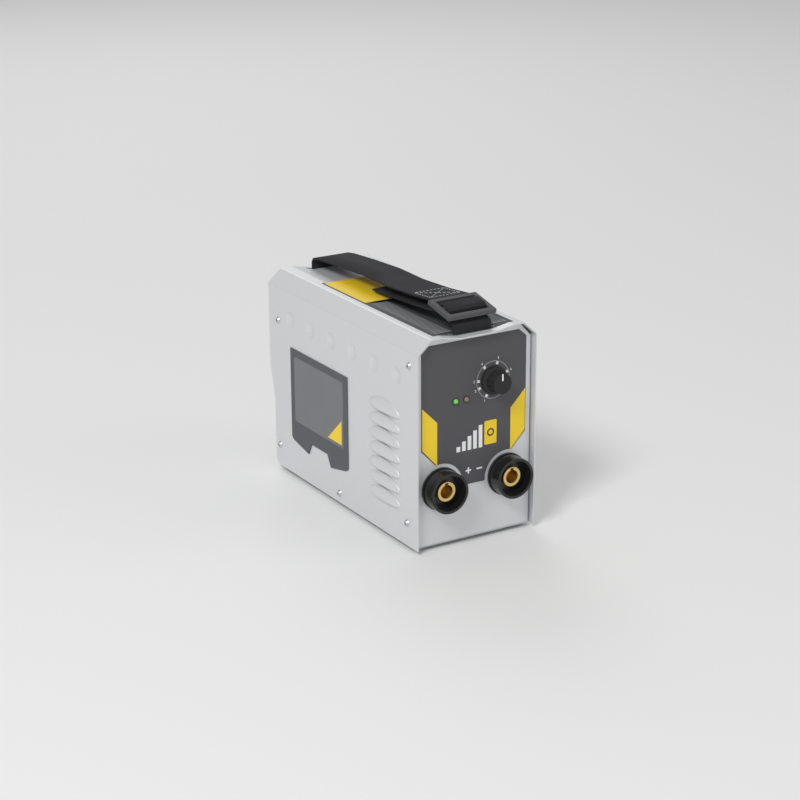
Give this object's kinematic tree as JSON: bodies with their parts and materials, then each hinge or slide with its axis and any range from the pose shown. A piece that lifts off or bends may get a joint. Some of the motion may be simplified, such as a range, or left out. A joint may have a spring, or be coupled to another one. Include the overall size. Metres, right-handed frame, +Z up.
{
  "type": "stick welder",
  "caption": "Compact inverter stick welder: folded silver cover with chamfered shoulders, current dial and two round output sockets on an inset front, webbing strap on top.",
  "frame": {"origin": "middle of the footprint box, on the surface that the rubber feet stand on", "axes": "+Z up, -Y out of the front panel, +Y towards the rear panel, +X to the right seen from the front"},
  "size_m": [0.136, 0.3006, 0.2252],
  "materials": {
    "silver_paint": "satin powder coat",
    "zinc_steel": "zinc plated sheet",
    "foot_rubber": "matt",
    "screw_steel": "zinc plated",
    "plate_grey": "satin film on a thin plate",
    "label_grey": "satin film",
    "overlay_film": "fine textured film",
    "socket_plastic": "glossy moulding",
    "brass": "machined",
    "copper": "copper, machined",
    "black_plastic": "matt moulding",
    "knob_plastic": "satin moulding",
    "white_mark": "satin",
    "led_green": "clear tinted resin",
    "led_amber": "clear tinted resin, unlit",
    "circuit_board": "solder mask",
    "aluminium": "extruded",
    "ferrite": "sintered",
    "winding_tape": "polyester tape",
    "choke_coat": "epoxy coat",
    "capacitor_sleeve": "shrink sleeve",
    "relay_case": "moulded",
    "rocker_plastic": "satin moulding",
    "gland_plastic": "moulded nylon",
    "webbing": "woven webbing",
    "buckle_plastic": "moulded nylon"
  },
  "bodies": {
    "chassis": {"cover": "silver_paint", "base_tray": "zinc_steel", "rubber_feet": "foot_rubber", "foot_screws": "screw_steel", "tray_screws": "screw_steel", "cover_screws_left": "screw_steel", "cover_screws_right": "screw_steel", "side_plate_left": "plate_grey", "side_plate_right": "plate_grey", "top_label": "label_grey", "front_panel": "silver_paint", "front_overlay": "overlay_film", "socket_collar_plus": "socket_plastic", "socket_insert_plus": "brass", "busbar_plus": "copper", "socket_collar_minus": "socket_plastic", "socket_insert_minus": "brass", "busbar_minus": "copper", "socket_ring_nuts": "black_plastic", "socket_stud_nuts": "brass", "dial_potentiometer": "black_plastic", "potentiometer_nut": "screw_steel", "power_led": "led_green", "overheat_led": "led_amber", "control_board": "circuit_board", "control_board_spacers": "brass", "control_chip": "black_plastic", "power_board": "circuit_board", "power_board_spacers": "brass", "power_board_screws": "screw_steel", "heatsink_primary": "aluminium", "power_transistors": "black_plastic", "heatsink_output": "aluminium", "output_diodes": "black_plastic", "bridge_rectifier": "black_plastic", "transformer_core_lower": "ferrite", "transformer_core_upper": "ferrite", "primary_winding": "winding_tape", "secondary_winding": "copper", "choke_core": "choke_coat", "choke_winding": "copper", "bulk_capacitors": "capacitor_sleeve", "inrush_relay": "relay_case", "fan_frame": "black_plastic", "fan_screws": "screw_steel", "rear_panel": "silver_paint", "switch_body": "black_plastic", "gland_body": "gland_plastic", "gland_seal": "foot_rubber", "gland_nut": "gland_plastic", "gland_locknut": "gland_plastic", "strap_rear": "webbing", "strap_front": "webbing", "strap_anchor_rods": "screw_steel", "strap_buckle": "buckle_plastic"},
    "dial": {"current_knob": "knob_plastic", "knob_pointer": "white_mark", "dial_shaft": "screw_steel"},
    "rocker": {"switch_rocker": "rocker_plastic"},
    "fan": {"fan_rotor": "black_plastic"}
  },
  "joints": [
    {"name": "dial_turn", "type": "hinge", "parent": "chassis", "child": "dial", "pos_m": [0.0202, -0.142, 0.1531], "axis": [0, 1, 0], "range_deg": [-150, 150]},
    {"name": "rocker_tip", "type": "hinge", "parent": "chassis", "child": "rocker", "pos_m": [-0.03, 0.1245, 0.162], "axis": [1, 0, 0], "range_deg": [-18, 0]},
    {"name": "fan_spin", "type": "hinge", "parent": "chassis", "child": "fan", "pos_m": [0, 0.112, 0.074], "axis": [0, 1, 0], "continuous": true}
  ]
}
